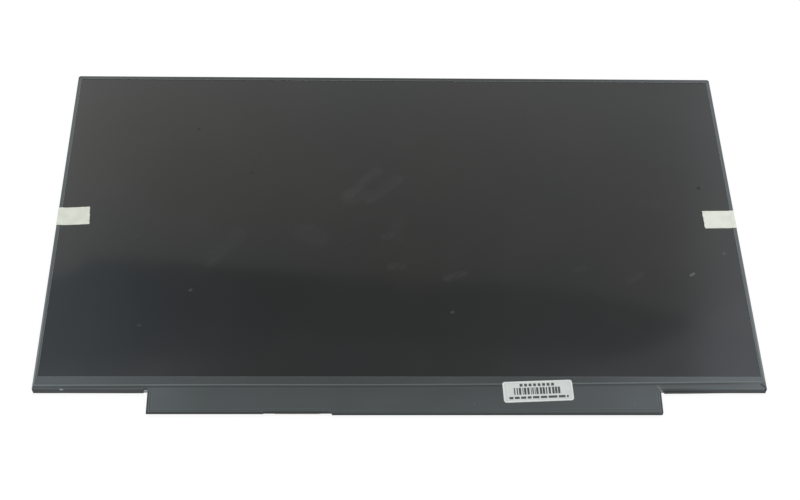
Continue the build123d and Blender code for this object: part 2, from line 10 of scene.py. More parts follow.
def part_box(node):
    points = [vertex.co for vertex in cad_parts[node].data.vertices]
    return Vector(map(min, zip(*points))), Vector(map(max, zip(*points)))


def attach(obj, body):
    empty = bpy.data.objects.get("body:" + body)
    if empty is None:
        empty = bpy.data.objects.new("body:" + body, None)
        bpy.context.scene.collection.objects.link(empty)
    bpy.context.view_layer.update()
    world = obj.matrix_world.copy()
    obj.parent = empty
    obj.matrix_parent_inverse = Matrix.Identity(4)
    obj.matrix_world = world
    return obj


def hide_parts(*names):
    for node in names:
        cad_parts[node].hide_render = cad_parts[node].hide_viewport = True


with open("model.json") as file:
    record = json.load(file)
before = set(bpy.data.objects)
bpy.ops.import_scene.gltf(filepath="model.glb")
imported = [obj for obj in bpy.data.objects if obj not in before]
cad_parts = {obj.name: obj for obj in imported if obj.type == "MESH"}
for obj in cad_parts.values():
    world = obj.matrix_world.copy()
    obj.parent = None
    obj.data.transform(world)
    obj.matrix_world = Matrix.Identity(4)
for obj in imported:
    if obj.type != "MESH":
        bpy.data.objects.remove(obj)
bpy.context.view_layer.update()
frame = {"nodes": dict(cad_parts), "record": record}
nodes = frame["nodes"]

# Lengths are written in millimetres and used in metres
MM = 0.001

# Edges of the body, read from the frame
bezel_low, bezel_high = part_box("front_bezel")
film_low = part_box("board_cover_film")[0]
label_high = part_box("sticker_label")[1]
screen_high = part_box("front_polarizer")[1]
board_low, board_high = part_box("control_board")
x_body = bezel_high.x
y_bottom = bezel_low.y
z_face = bezel_high.z
z_screen = screen_high.z

# Camera, found from the corners of the body in the photograph
camera_place = Vector((-21.556, -456.436, 572.620)) * MM
camera_forward = Vector((0.030331, 0.615790, -0.787327))
camera_up = Vector((-0.002999, 0.787742, 0.615999))
camera_lens = 71.033
camera_sensor = 36.0

# Cover film
film_thick = 0.1 * MM
film_end_inset = 0.5 * MM
film_edge_left = 2.5 * MM
film_edge_middle = 2.9 * MM
film_edge_right = 4.65 * MM
film_edge_wave = 0.3 * MM
bezel_fold = 0.5 * MM
film_hem = 0.6 * MM
film_bend = 0.25 * MM
film_return = 2.0 * MM
flap_left = -108.6 * MM
flap_right = 111.6 * MM
fold_left_end = -110.4 * MM
fold_right_start = 112.2 * MM
fold_ease = 0.8 * MM
fold_slant = 0.8 * MM
notch_left = -59.0 * MM
notch_right = -30.0 * MM
front_step = 0.55 * MM
notch_depth = 0.25 * MM
film_corner = 1.0 * MM
board_margin = 1.3 * MM
slit_width = 0.4 * MM
slit_tip = Vector((flap_right - 1.2 * MM, y_bottom + 2.0 * MM, 0.0))
slit_root = Vector((fold_right_start, y_bottom - 0.65 * MM, 0.0))

# Tape tabs
tab_thick = 0.12 * MM
tab_height = 10.4 * MM
tab_hem = 0.45 * MM
tab_ramp = 0.8 * MM

# Bezel lips round the window
side_lip = 1.7 * MM
top_lip = 2.1 * MM
bottom_lip = 6.7 * MM

# Sticker
label_centre = Vector((58.5 * MM, y_bottom - 0.55 * MM, 0.0))
label_width = 30.2 * MM
label_height = 10.1 * MM
label_tilt = math.radians(2.4)
ink_lift = 0.005 * MM
print_seed = 11

# Light of the studio
studio_strength = 1.95


# Node helpers

def start_material(name, **sockets):
    """A material with one Principled shader, its plain values set on the shader's own sockets."""
    material = bpy.data.materials.new(name)
    material.use_nodes = True
    tree = material.node_tree
    shader = tree.nodes["Principled BSDF"]
    for socket, value in sockets.items():
        shader.inputs[socket.replace("_", " ")].default_value = value
    return material, tree, shader


def add(tree, kind, **settings):
    """A new node, with inputs or properties set by name."""
    node = tree.nodes.new("ShaderNode" + kind)
    for key, value in settings.items():
        if key in node.inputs:
            node.inputs[key].default_value = value
        else:
            setattr(node, key, value)
    return node


def place(tree, stretch=(1, 1, 1), turn=(0, 0, 0), shift=(0, 0, 0)):
    """Object coordinates in metres, moved, turned and stretched."""
    coordinates = add(tree, "TexCoord")
    mapping = add(tree, "Mapping", vector_type="POINT")
    mapping.inputs["Scale"].default_value = stretch
    mapping.inputs["Rotation"].default_value = turn
    mapping.inputs["Location"].default_value = shift
    tree.links.new(coordinates.outputs["Object"], mapping.inputs["Vector"])
    return mapping.outputs["Vector"]


def clouds(tree, scale, detail=4.0, rough=0.55, stretch=(1, 1, 1)):
    """A noise field over the object, with its scale in features per metre."""
    texture = add(tree, "TexNoise", Scale=scale, Detail=detail, Roughness=rough)
    tree.links.new(place(tree, stretch), texture.inputs["Vector"])
    return texture.outputs["Fac"]


def strands(tree, scale, angle, drawn):
    """A noise field drawn out in one direction across the face, at an angle from the X axis."""
    mapping = add(tree, "Mapping", vector_type="TEXTURE", Rotation=(0, 0, angle), Scale=(drawn, 1, 1))
    tree.links.new(add(tree, "TexCoord").outputs["Object"], mapping.inputs["Vector"])
    texture = add(tree, "TexNoise", Scale=scale, Detail=2.0, Roughness=0.5)
    tree.links.new(mapping.outputs["Vector"], texture.inputs["Vector"])
    return texture.outputs["Fac"]


def ramp(tree, value, stops):
    """A colour ramp, each stop a position and a colour or a grey."""
    node = add(tree, "ValToRGB")
    elements = node.color_ramp.elements
    while len(elements) < len(stops):
        elements.new(0.5)
    for element, (position, colour) in zip(elements, stops):
        element.position = position
        grey = not hasattr(colour, "__len__")
        element.color = (colour, colour, colour, 1) if grey else (*colour, 1)
    tree.links.new(value, node.inputs["Fac"])
    return node.outputs["Color"]


def drift(tree, socket, field, low, high):
    """Let a shader's socket drift between two values over a field."""
    tree.links.new(ramp(tree, field, ((0.3, low), (0.7, high))), socket)


def axes_of(tree, vector):
    """The X, Y and Z of a vector, one by one."""
    axes = add(tree, "SeparateXYZ")
    tree.links.new(vector, axes.inputs[0])
    return axes.outputs


def mix(tree, factor, first, second, blend="MIX"):
    """Mix two colours by a factor, each a socket or a plain value."""
    node = add(tree, "Mix", data_type="RGBA", blend_type=blend)
    for socket, value in ((node.inputs[0], factor), (node.inputs[6], first), (node.inputs[7], second)):
        if hasattr(value, "is_linked"):
            tree.links.new(value, socket)
        elif hasattr(value, "__len__"):
            socket.default_value = (*value, 1)
        else:
            socket.default_value = value
    return node.outputs[2]


def maths(tree, operation, first, second=0.0):
    """One arithmetic step."""
    node = add(tree, "Math", operation=operation)
    for socket, value in zip(node.inputs, (first, second)):
        if hasattr(value, "is_linked"):
            tree.links.new(value, socket)
        else:
            socket.default_value = value
    return node.outputs[0]


def smooth_step(tree, value, low, high):
    """A soft step of a value from 0 at low to 1 at high."""
    node = add(tree, "MapRange", interpolation_type="SMOOTHSTEP")
    tree.links.new(value, node.inputs["Value"])
    node.inputs["From Min"].default_value = low
    node.inputs["From Max"].default_value = high
    return node.outputs["Result"]


def stroke(tree, start, end, width, soft):
    """A soft mark along a line between two points, 1 on the line and 0 away from it; lengths in metres."""
    line = Vector(end) - Vector(start)
    here = place(tree, shift=-Vector(start))
    along = add(tree, "VectorMath", operation="DOT_PRODUCT")
    tree.links.new(here, along.inputs[0])
    along.inputs[1].default_value = line / max(line.length_squared, 1e-12)
    held = add(tree, "Math", operation="MULTIPLY", use_clamp=True)
    held.inputs[1].default_value = 1.0
    tree.links.new(along.outputs["Value"], held.inputs[0])
    nearest = add(tree, "VectorMath", operation="SCALE")
    nearest.inputs[0].default_value = line
    tree.links.new(held.outputs[0], nearest.inputs["Scale"])
    away = add(tree, "VectorMath", operation="DISTANCE")
    tree.links.new(here, away.inputs[0])
    tree.links.new(nearest.outputs[0], away.inputs[1])
    return smooth_step(tree, away.outputs["Value"], width + soft, width)


def facing_up(tree, low, high):
    """How far a surface faces up: for the dust on upward faces, and for painted shade on the faces turned
    away from them.
    """
    axes = axes_of(tree, add(tree, "NewGeometry").outputs["Normal"])
    return smooth_step(tree, axes["Z"], low, high)


def bump(tree, shader, height, strength, distance):
    """Bump from a height field, its distance in millimetres."""
    node = add(tree, "Bump", Strength=strength, Distance=distance * MM)
    tree.links.new(height, node.inputs["Height"])
    tree.links.new(node.outputs["Normal"], shader.inputs["Normal"])


def mottled(name, dark, light, scale, rough, grain=0.0, stretch=(1, 1, 1), **sockets):
    """A surface whose colour and roughness drift softly, with a fine grain."""
    material, tree, shader = start_material(name, **sockets)
    field = clouds(tree, scale, stretch=stretch)
    drift(tree, shader.inputs["Base Color"], field, dark, light)
    drift(tree, shader.inputs["Roughness"], clouds(tree, scale * 3), rough[0], rough[1])
    if grain:
        bump(tree, shader, clouds(tree, 4000, stretch=stretch), 0.5, grain)
    return material


# Materials

def on_screen(x, y):
    """A point on the screen, from millimetres."""
    return (x * MM, y * MM, z_screen)


def screen_material():
    """Dark glossy polarizer, a little wavy: finger smears, wiped strokes, dust and a few dark pits."""
    material, tree, shader = start_material("screen_dark", IOR=1.5)
    drift = clouds(tree, 6, detail=2)
    tint = ramp(tree, drift, ((0.35, (0.0070, 0.0080, 0.0090)), (0.65, (0.0092, 0.0088, 0.0078))))
    film = ramp(tree, clouds(tree, 26, detail=5), ((0.48, 0.0), (0.80, 0.010)))
    tint = mix(tree, film, tint, (0.30, 0.31, 0.30))
    wiped = ramp(tree, strands(tree, 420, math.radians(45), 9), ((0.35, 0.30), (0.65, 1.0)))
    for x0, y0, x1, y1, width, strength in screen_smears:
        mark = stroke(tree, on_screen(x0, y0), on_screen(x1, y1), width * MM, 2.6 * width * MM)
        mark = maths(tree, "MULTIPLY", maths(tree, "MULTIPLY", mark, wiped), strength)
        tint = mix(tree, mark, tint, (0.30, 0.32, 0.31))
    dust = maths(tree, "MULTIPLY", specks(tree, 60, 0.012, 0.70), 0.10)
    for x0, y0, x1, y1, strength in screen_lint:
        mark = stroke(tree, on_screen(x0, y0), on_screen(x1, y1), 0.35 * MM, 0.55 * MM)
        dust = maths(tree, "MAXIMUM", dust, maths(tree, "MULTIPLY", mark, strength))
    tint = mix(tree, dust, tint, (0.40, 0.41, 0.40))
    tree.links.new(tint, shader.inputs["Base Color"])
    pits = specks(tree, 33, 0.014, 0.80)
    for x, y, width in screen_pits:
        spot = on_screen(x, y)
        pits = maths(tree, "MAXIMUM", pits, stroke(tree, spot, spot, 0.5 * width * MM, width * MM))
    shine = ramp(tree, clouds(tree, 18, detail=5), ((0.35, 0.038), (0.75, 0.058)))
    tree.links.new(mix(tree, pits, shine, (0.5, 0.5, 0.5)), shader.inputs["Roughness"])
    tree.links.new(mix(tree, pits, (1.0, 1.0, 1.0), (0.75, 0.74, 0.72)), shader.inputs["Specular Tint"])
    bump(tree, shader, clouds(tree, 9, detail=1, rough=0.3), 0.6, 0.10)
    return material


# Smears on the screen: ends of each stroke, half width, strength
screen_smears = (
    (-23.5, 22.5, -10.0, 37.0, 1.1, 0.027),
    (-13.5, 19.5, 0.0, 32.0, 1.1, 0.027),
    (-22.5, 20.5, -16.0, 21.5, 1.9, 0.022),
    (-42.5, -0.5, -37.5, -3.5, 2.2, 0.020),
    (-6.5, -3.5, -3.5, -1.5, 0.7, 0.029),
    (0.0, 6.0, -1.0, -3.5, 1.3, 0.016),
    (-85.5, -17.0, -74.0, -2.0, 1.6, 0.024),
    (-4.0, -20.5, 1.0, -20.0, 0.8, 0.029),
    (21.5, -27.0, 28.5, -24.5, 0.8, 0.036),
    (104.0, -27.5, 109.5, -24.5, 0.8, 0.025),
    (80.5, -22.0, 84.0, -21.0, 0.7, 0.021),
    (115.0, 17.0, 121.0, 17.5, 1.3, 0.016),
)

# Lint on the screen: ends of each fibre, strength
screen_lint = (
    (132.8, -24.9, 134.2, -23.9, 0.170),
    (149.7, -12.4, 150.0, -12.0, 0.080),
    (-94.0, -34.0, -93.6, -33.7, 0.090),
    (22.9, -45.9, 23.5, -45.7, 0.080),
    (-115.4, -53.2, -114.6, -53.2, 0.040),
)

# Dark pits in the screen: place, width
screen_pits = (
    (-69.0, 35.5, 1.0),
    (143.2, 27.1, 1.0),
    (-96.0, 63.5, 0.8),
)


def specks(tree, scale, size, keep):
    """Sparse dust: small round spots in some cells of a scattered grid."""
    cells = add(tree, "TexVoronoi", Scale=scale)
    tree.links.new(place(tree), cells.inputs["Vector"])
    spot = ramp(tree, cells.outputs["Distance"], ((size, 1.0), (size * 2.2, 0.0)))
    channels = add(tree, "SeparateColor")
    tree.links.new(cells.outputs["Color"], channels.inputs["Color"])
    kept = maths(tree, "GREATER_THAN", channels.outputs[0], keep)
    return maths(tree, "MULTIPLY", spot, kept)


def film_material():
    """Matte black film, dusty on top, with painted shade on its turned down edges and a painted highlight
    along its cut edge.
    """
    material, tree, shader = start_material("film_black", IOR=1.5)
    field = ramp(tree, clouds(tree, 60, stretch=(0.35, 1, 1)), ((0.3, 0.90), (0.7, 1.06)))
    # The dust attribute holds dust together with painted light, lighter towards the ends of the film.
    dust = add(tree, "Attribute", attribute_name="dust")
    dusty = mix(tree, dust.outputs["Fac"], (0.0, 0.0, 0.0), (0.092, 0.104, 0.105))
    dusty = mix(tree, 1.0, dusty, field, "MULTIPLY")
    up = facing_up(tree, 0.20, 0.75)
    # Painted shade: faces turned away from the top reflect half as much and are much blacker than the dusty
    # top.
    tree.links.new(mix(tree, up, (0.5, 0.5, 0.5), (1.0, 1.0, 1.0)), shader.inputs["Specular Tint"])
    colour = mix(tree, up, (0.006, 0.008, 0.009), dusty)
    lint = maths(tree, "MULTIPLY", specks(tree, 160, 0.03, 0.90), 0.3)
    colour = mix(tree, lint, colour, (0.20, 0.20, 0.20))
    # The two attributes hold painted highlights and painted shade near the film's edges.
    for name, tone in (("painted_edge_light", (0.132, 0.150, 0.147)), ("painted_edge_shade", (0.014, 0.018, 0.018))):
        line = add(tree, "Attribute", attribute_name=name)
        colour = mix(tree, line.outputs["Fac"], colour, tone)
    # Painted highlights and painted crease shade, from the marks listed below.
    for start, end, width, strength, tone in film_painted_marks:
        mark = stroke(tree, edge_place(*start), edge_place(*end), width * MM, 1.5 * width * MM)
        colour = mix(tree, maths(tree, "MULTIPLY", mark, strength), colour, tone)
    tree.links.new(colour, shader.inputs["Base Color"])
    drift(tree, shader.inputs["Roughness"], clouds(tree, 90), 0.28, 0.33)
    bump(tree, shader, clouds(tree, 2600, detail=3), 0.1, 0.02)
    return material


def edge_place(x, rise, z):
    """A point in millimetres from the middle, the bottom edge and the rear of the body."""
    return (x * MM, y_bottom + rise * MM, z * MM)


# Painted light and shade on the film: painted highlights on a small lump and along the slit, and painted
# shade in creases at both ends: ends, half width, strength, colour
painted_glint = (0.30, 0.33, 0.32)
crease_shade = (0.010, 0.012, 0.012)
film_painted_marks = (
    ((-145.7, 0.10, 2.90), (-144.7, 0.10, 2.90), 0.20, 0.70, painted_glint),
    ((111.4, 0.4, 3.05), (112.3, -1.1, 2.90), 0.20, 0.60, painted_glint),
    ((155.6, 2.7, 3.10), (156.9, 1.5, 3.10), 0.26, 0.90, crease_shade),
    ((157.0, 0.4, 2.90), (157.2, -0.2, 1.20), 0.26, 0.90, crease_shade),
    ((-157.2, -0.1, 1.70), (-156.8, -0.1, 0.90), 0.30, 0.80, crease_shade),
)


def window_edge(tree):
    """The cut edge of the bezel's window, painted pale: partly its bare metal, partly painted light over the
    shade along it.
    """
    middle = (bezel_low.y + bottom_lip + bezel_high.y - top_lip) / 2
    axes = axes_of(tree, place(tree, shift=(0, -middle, 0)))
    half_height = (bezel_high.y - top_lip - bezel_low.y - bottom_lip) / 2
    along = maths(tree, "SUBTRACT", maths(tree, "ABSOLUTE", axes["X"]), x_body - side_lip)
    across = maths(tree, "SUBTRACT", maths(tree, "ABSOLUTE", axes["Y"]), half_height)
    return smooth_step(tree, maths(tree, "MAXIMUM", along, across), 0.06 * MM, 0.01 * MM)


def bezel_dust_and_light(tree):
    """Dust and painted light on the bezel: paler towards both ends, most on the right, and darker with
    painted shade on the upper lip.
    """
    axes = axes_of(tree, place(tree))
    left = smooth_step(tree, axes["X"], -60 * MM, -x_body)
    right = smooth_step(tree, axes["X"], 75 * MM, x_body)
    upper = smooth_step(tree, axes["Y"], bezel_high.y - top_lip - 1.0 * MM, bezel_high.y - top_lip)
    dust = mix(tree, left, (0.040, 0.046, 0.046), (0.064, 0.073, 0.077))
    dust = mix(tree, right, dust, (0.081, 0.092, 0.098))
    return mix(tree, upper, dust, mix(tree, 1.0, dust, (0.70, 0.70, 0.70), "MULTIPLY"))


def side_fold_highlight(tree):
    """Painted highlight along the outer corners of the side lips, where they fold down, stronger towards the
    lower ends.
    """
    axes = axes_of(tree, place(tree))
    outer = smooth_step(tree, maths(tree, "ABSOLUTE", axes["X"]), x_body - 1.1 * MM, x_body - 0.6 * MM)
    lower = smooth_step(tree, axes["Y"], 0.0, -75 * MM)
    return maths(tree, "MULTIPLY", outer, lower)


def bezel_material():
    """Satin black paint on pressed steel, slightly greenish, dusty on top with painted shade on the faces
    turned away from it, with a fine grain.
    """
    material, tree, shader = start_material("bezel_black", IOR=1.5)
    field = ramp(tree, clouds(tree, 45, stretch=(0.4, 1, 1)), ((0.3, 0.90), (0.7, 1.10)))
    # Dust with painted light: paler towards the ends, painted shade on the upper lip.
    dusty = mix(tree, 1.0, bezel_dust_and_light(tree), field, "MULTIPLY")
    worn = ramp(tree, clouds(tree, 420, detail=6), ((0.66, 0.0), (0.80, 0.30)))
    dusty = mix(tree, worn, dusty, (0.10, 0.11, 0.11))
    # Painted shade: faces that don't face up are much blacker than the dusty top.
    colour = mix(tree, facing_up(tree, 0.0, 0.5), (0.010, 0.013, 0.013), dusty)
    # Pale window edge: partly bare metal, partly painted light over its shade.
    colour = mix(tree, window_edge(tree), colour, (0.36, 0.38, 0.38))
    # Painted highlight along the folded outer corners of the side lips.
    colour = mix(tree, side_fold_highlight(tree), colour, (0.17, 0.18, 0.18))
    face = Vector((0, 0, z_face))
    # Painted light on the bezel under the slit.
    slit_light = stroke(tree, slit_tip + face, slit_root + face, slit_width, slit_width)
    tree.links.new(mix(tree, slit_light, colour, (0.16, 0.18, 0.175)), shader.inputs["Base Color"])
    drift(tree, shader.inputs["Roughness"], clouds(tree, 120), 0.20, 0.25)
    bump(tree, shader, clouds(tree, 3200, detail=2), 0.25, 0.02)
    return material


def paper_tape_material():
    """Cream crepe paper: fine cross wrinkles, soft stains."""
    material, tree, shader = start_material("tape_paper", IOR=1.4, Specular_IOR_Level=0.25)
    field = clouds(tree, 260, detail=6)
    axes = axes_of(tree, place(tree))
    # Paler from the left tab to the right one.
    rightward = smooth_step(tree, axes["X"], -x_body, x_body)
    left_tone = ramp(tree, field, ((0.25, (0.655, 0.655, 0.560)), (0.75, (0.775, 0.775, 0.680))))
    right_tone = ramp(tree, field, ((0.25, (0.735, 0.735, 0.645)), (0.75, (0.855, 0.855, 0.765))))
    tree.links.new(mix(tree, rightward, left_tone, right_tone), shader.inputs["Base Color"])
    drift(tree, shader.inputs["Roughness"], field, 0.70, 0.85)
    crepe = clouds(tree, 700, detail=4, stretch=(2.2, 0.5, 1))
    bump(tree, shader, crepe, 0.7, 0.06)
    return material


def sticker_material():
    """Pale satin sticker paper: a greyer field inside a faint die line, fibre and handling marks."""
    material, tree, shader = start_material("sticker_paper", IOR=1.45)
    field = clouds(tree, 420, detail=6)
    colour = ramp(tree, field, ((0.3, (0.665, 0.675, 0.640)), (0.7, (0.735, 0.745, 0.710))))
    back = Matrix.Rotation(-label_tilt, 3, "Z")
    here = place(tree, turn=(0, 0, -label_tilt), shift=-(back @ label_centre))
    axes = axes_of(tree, here)
    inset = 0.95 * MM
    along = maths(tree, "SUBTRACT", maths(tree, "ABSOLUTE", axes["X"]), label_width / 2 - inset)
    across = maths(tree, "SUBTRACT", maths(tree, "ABSOLUTE", axes["Y"]), label_height / 2 - inset)
    border = maths(tree, "MAXIMUM", along, across)
    inside = smooth_step(tree, border, 0.15 * MM, -0.15 * MM)
    colour = mix(tree, maths(tree, "MULTIPLY", inside, 0.35), colour, (0.50, 0.53, 0.50))
    line = smooth_step(tree, maths(tree, "ABSOLUTE", border), 0.28 * MM, 0.10 * MM)
    colour = mix(tree, maths(tree, "MULTIPLY", line, 0.35), colour, (0.40, 0.42, 0.40))
    tree.links.new(colour, shader.inputs["Base Color"])
    drift(tree, shader.inputs["Roughness"], clouds(tree, 150), 0.42, 0.55)
    bump(tree, shader, clouds(tree, 1800), 0.2, 0.01)
    return material


def frame_material():
    """Black moulded plastic, with painted light where it shows beside both ends of the flap."""
    material, tree, shader = start_material("frame_black")
    field = clouds(tree, 120)
    colour = ramp(tree, field, ((0.3, (0.022, 0.023, 0.024)), (0.7, (0.032, 0.033, 0.034))))
    # Painted light where the frame shows beside the flap.
    for start, end in frame_painted_light:
        pale = stroke(tree, edge_place(*start), edge_place(*end), 0.75 * MM, 0.25 * MM)
        colour = mix(tree, pale, colour, (0.55, 0.57, 0.57))
    tree.links.new(colour, shader.inputs["Base Color"])
    drift(tree, shader.inputs["Roughness"], field, 0.5, 0.6)
    bump(tree, shader, clouds(tree, 4000), 0.5, 0.02)
    return material


# Painted light on the mould frame, beside both ends of the flap: ends
frame_painted_light = (
    ((-110.1, 0.65, 1.10), (-108.9, 0.65, 1.10)),
    ((111.8, 0.65, 2.20), (112.6, 0.65, 0.60)),
)


def rear_metal_material():
    """Rolled sheet metal: long fine grain, faint cloudy handling marks."""
    material, tree, shader = start_material("rear_metal", Metallic=1.0)
    grain = clouds(tree, 900, detail=5, stretch=(0.02, 1, 1))
    colour = ramp(tree, grain, ((0.3, (0.50, 0.51, 0.52)), (0.7, (0.62, 0.63, 0.64))))
    marks = ramp(tree, clouds(tree, 22, detail=6), ((0.45, 0.0), (0.75, 0.30)))
    tree.links.new(mix(tree, marks, colour, (0.40, 0.40, 0.41)), shader.inputs["Base Color"])
    drift(tree, shader.inputs["Roughness"], clouds(tree, 60, detail=6), 0.32, 0.46)
    bump(tree, shader, grain, 0.15, 0.02)
    return material


def board_material():
    """Green solder mask over copper runs and vias."""
    material, tree, shader = start_material("board_green", IOR=1.5)
    runs = add(tree, "TexBrick", Scale=1.0)
    runs.inputs["Brick Width"].default_value = 2.8 * MM
    runs.inputs["Row Height"].default_value = 0.45 * MM
    runs.inputs["Mortar Size"].default_value = 0.09 * MM
    tree.links.new(place(tree), runs.inputs["Vector"])
    field = clouds(tree, 90)
    mask = ramp(tree, field, ((0.3, (0.010, 0.070, 0.042)), (0.7, (0.014, 0.092, 0.055))))
    copper = mix(tree, runs.outputs["Fac"], mask, (0.030, 0.125, 0.070))
    vias = specks(tree, 420, 0.10, 0.55)
    tree.links.new(mix(tree, vias, copper, (0.30, 0.26, 0.16)), shader.inputs["Base Color"])
    drift(tree, shader.inputs["Roughness"], field, 0.28, 0.36)
    bump(tree, shader, runs.outputs["Fac"], 0.4, 0.03)
    return material


def clear_material(name, dark, light, rough, transmission):
    """Clear sheet, a little uneven in tint, with faint haze and wipe marks."""
    material, tree, shader = start_material(name, IOR=1.5, Transmission_Weight=transmission)
    field = clouds(tree, 40)
    drift(tree, shader.inputs["Base Color"], field, dark, light)
    drift(tree, shader.inputs["Roughness"], field, rough[0], rough[1])
    return material


materials = {
    "bezel_black": bezel_material(),
    "screen_dark": screen_material(),
    "film_black": film_material(),
    "sticker_paper": sticker_material(),
    "tape_paper": paper_tape_material(),
    "rear_metal": rear_metal_material(),
    "board_green": board_material(),
    "frame_black": frame_material(),
}

# Clear sheets: dark and light tint, roughness, transmission
clear_sheets = {
    "cell_glass": ((0.76, 0.83, 0.81), (0.82, 0.88, 0.86), (0.02, 0.05), 0.85),
    "guide_acrylic": ((0.84, 0.89, 0.89), (0.88, 0.92, 0.92), (0.05, 0.10), 0.7),
    "prism_film": ((0.82, 0.84, 0.85), (0.86, 0.88, 0.89), (0.15, 0.25), 0.5),
}

# Plain surfaces: dark and light colour, features a metre, roughness, depth of the grain if it has one
plain_surfaces = {
    "polarizer_grey": ((0.13, 0.13, 0.14), (0.17, 0.17, 0.18), 30, (0.15, 0.22)),
    "black_tape": ((0.014, 0.014, 0.014), (0.022, 0.022, 0.022), 80, (0.6, 0.7), 0.02),
    "diffuser_film": ((0.80, 0.80, 0.78), (0.88, 0.88, 0.86), 40, (0.5, 0.6), 0.01),
    "reflector_white": ((0.84, 0.84, 0.83), (0.90, 0.90, 0.89), 40, (0.3, 0.4), 0.01),
    "flex_amber": ((0.34, 0.15, 0.03), (0.46, 0.22, 0.05), 200, (0.25, 0.35)),
    "led_white": ((0.80, 0.78, 0.60), (0.88, 0.86, 0.72), 500, (0.4, 0.5)),
    "driver_film_brown": ((0.22, 0.10, 0.03), (0.32, 0.16, 0.05), 150, (0.2, 0.3)),
    "chip_black": ((0.018, 0.018, 0.019), (0.028, 0.028, 0.029), 500, (0.5, 0.6), 0.015),
    "coil_grey": ((0.10, 0.10, 0.10), (0.16, 0.16, 0.16), 700, (0.55, 0.7), 0.03),
    "capacitor_tan": ((0.36, 0.25, 0.14), (0.46, 0.33, 0.20), 900, (0.4, 0.5)),
    "resistor_black": ((0.030, 0.030, 0.034), (0.050, 0.050, 0.055), 900, (0.3, 0.4)),
    "socket_ivory": ((0.55, 0.50, 0.38), (0.64, 0.58, 0.46), 500, (0.4, 0.5)),
    "print_ink": ((0.030, 0.030, 0.032), (0.075, 0.075, 0.078), 900, (0.5, 0.6)),
}

# Bare metals: dark and light colour, features a metre, roughness, stretch of the features
bare_metals = {
    "socket_steel": ((0.56, 0.56, 0.57), (0.68, 0.68, 0.69), 300, (0.25, 0.35), (0.1, 1, 1)),
    "contact_gold": ((0.72, 0.52, 0.20), (0.84, 0.64, 0.30), 600, (0.2, 0.3), (1, 1, 1)),
    "solder": ((0.60, 0.60, 0.60), (0.74, 0.74, 0.74), 900, (0.25, 0.38), (1, 1, 1)),
}

for name, values in clear_sheets.items():
    materials[name] = clear_material(name, *values)
for name, values in plain_surfaces.items():
    materials[name] = mottled(name, *values)
for name, (*values, stretch) in bare_metals.items():
    materials[name] = mottled(name, *values, stretch=stretch, Metallic=1.0)


def give(piece, name):
    """Put one of the materials on a piece, in place of what it had."""
    piece.data.materials.clear()
    piece.data.materials.append(materials[name])


for part in frame["record"]["subparts"]:
    give(nodes[part["node"]], part["material_slot"])


# Pieces made here

def new_piece(name, mesh, material, slot, *replaced):
    """Put a mesh in the scene as a piece of the one body."""
    piece = bpy.data.objects.new(name, mesh)
    bpy.context.scene.collection.objects.link(piece)
    give(piece, material)
    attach(piece, "root")
    if replaced:
        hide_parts(*replaced)
    return piece


def solid_sheet(piece, thick, smooth=True):
    """Give a surface its thickness, inwards, and shade it smooth unless it is flat."""
    for polygon in piece.data.polygons:
        polygon.use_smooth = smooth
    modifier = piece.modifiers.new("thickness", "SOLIDIFY")
    modifier.thickness = thick
    modifier.offset = -1.0
    modifier.use_even_offset = True


def steps(start, end, count):
    return [start + (end - start) * step / count for step in range(count + 1)]


def soft_step(value, low, high):
    share = min(max((value - low) / (high - low), 0.0), 1.0)
    return share * share * (3 - 2 * share)


def peak(value, middle, width):
    return math.exp(-((value - middle) / width) ** 2)


def film_edge(x):
    """Upper edge of the film: level on the left and climbing to the right, above the bottom of the body."""
    share = x / (x_body - film_end_inset)
    bow = (film_edge_left + film_edge_right) / 2 - film_edge_middle
    lean = (film_edge_right - film_edge_left) / 2
    wave = film_edge_wave * peak(share, -0.5, 0.32)
    return y_bottom + film_edge_middle + lean * share + bow * share * share + wave


def corner_round(x):
    """How far the lower right corner of the film is rounded back at x."""
    past = max(x - (flap_right - film_corner), 0.0)
    return film_corner - math.sqrt(max(film_corner ** 2 - past ** 2, 0.0))


def front_of(x):
    """Front of the film over the board."""
    front = film_low.y
    if x < notch_left:
        return front + front_step
    if x < notch_right:
        return front + front_step + notch_depth
    return front + corner_round(x)


def film_top(y):
    """Upper surface of the sloping film over the board."""
    fold = y_bottom + bezel_fold
    front = film_low.y + film_thick
    share = (fold - y) / (fold - front)
    return z_face + film_thick - share * (z_face - board_high.z)


def film_lift(x, y):
    """Small waves in the film: slight everywhere, stronger on the right hand fold, and a few lumps."""
    spot = Vector((x * 140, y * 420, 3.7))
    lift = 0.020 * MM * noise.noise(spot)
    right = soft_step(x, fold_right_start, fold_right_start + 4 * MM)
    low = 1 - soft_step(y, y_bottom + 1.0 * MM, y_bottom + 3.5 * MM)
    lift += right * low * 0.035 * MM * (1 + noise.noise(Vector((x * 60, y * 420, 9.1))))
    for lump_x, lump_y, radius, height in film_lumps:
        away = math.hypot(x - lump_x, y - lump_y) / radius
        lift += height * math.exp(-away * away)
    return lift


film_lumps = (
    (-145.2 * MM, y_bottom + 0.5 * MM, 0.9 * MM, 0.08 * MM),
    (-67.6 * MM, y_bottom - 9.8 * MM, 1.1 * MM, 0.08 * MM),
    (12.6 * MM, y_bottom - 10.3 * MM, 1.0 * MM, 0.07 * MM),
)


def sag(x, y):
    """The film dips where it runs past the edge of the board."""
    past_left = 1 - soft_step(x, flap_left + 0.3 * board_margin, flap_left + 1.3 * board_margin)
    past_right = soft_step(x, flap_right - 1.3 * board_margin, flap_right - 0.3 * board_margin)
    below = 1 - soft_step(y, y_bottom - 3.0 * MM, y_bottom - 0.5 * MM)
    return -0.10 * MM * max(past_left, past_right) * below


